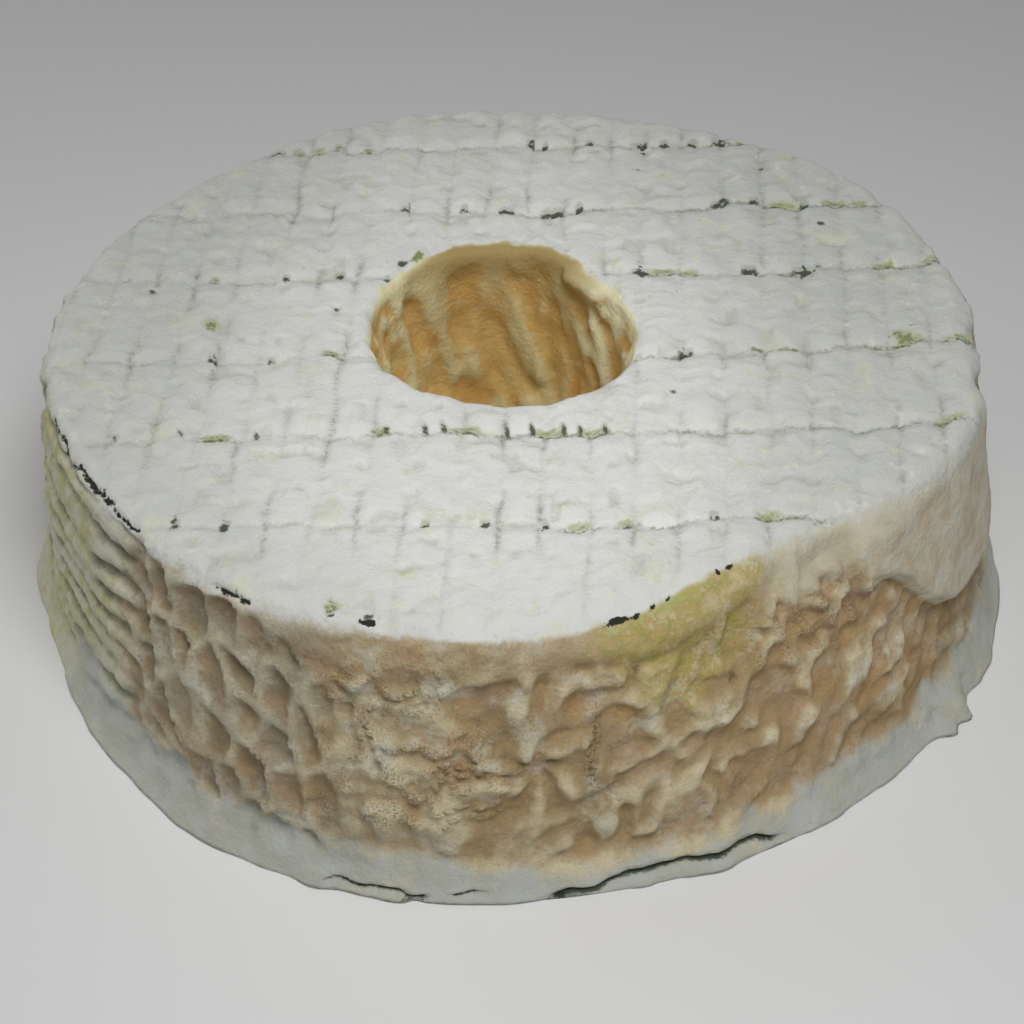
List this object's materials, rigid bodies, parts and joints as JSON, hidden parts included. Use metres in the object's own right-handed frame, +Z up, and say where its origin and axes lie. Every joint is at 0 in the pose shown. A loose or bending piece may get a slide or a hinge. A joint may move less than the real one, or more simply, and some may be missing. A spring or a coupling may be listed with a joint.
{
  "type": "goat cheese ring",
  "caption": "Low round ripened goat cheese with a hole through its middle, a mat-printed upper face and a pitted, folded rind.",
  "frame": {"origin": "centre of the bounding box at the underside, on the surface the cheese stands on", "axes": "+Z up through the hole, +X to the right and -Y to the front as the picture shows the cheese"},
  "size_m": [0.1127, 0.1111, 0.0318],
  "materials": {
    "rind": "matte natural rind, cool off-white on top, beige to pinkish brown on the wall and in the hole"
  },
  "bodies": {
    "root": {"cheese_ring": "rind"}
  },
  "joints": []
}
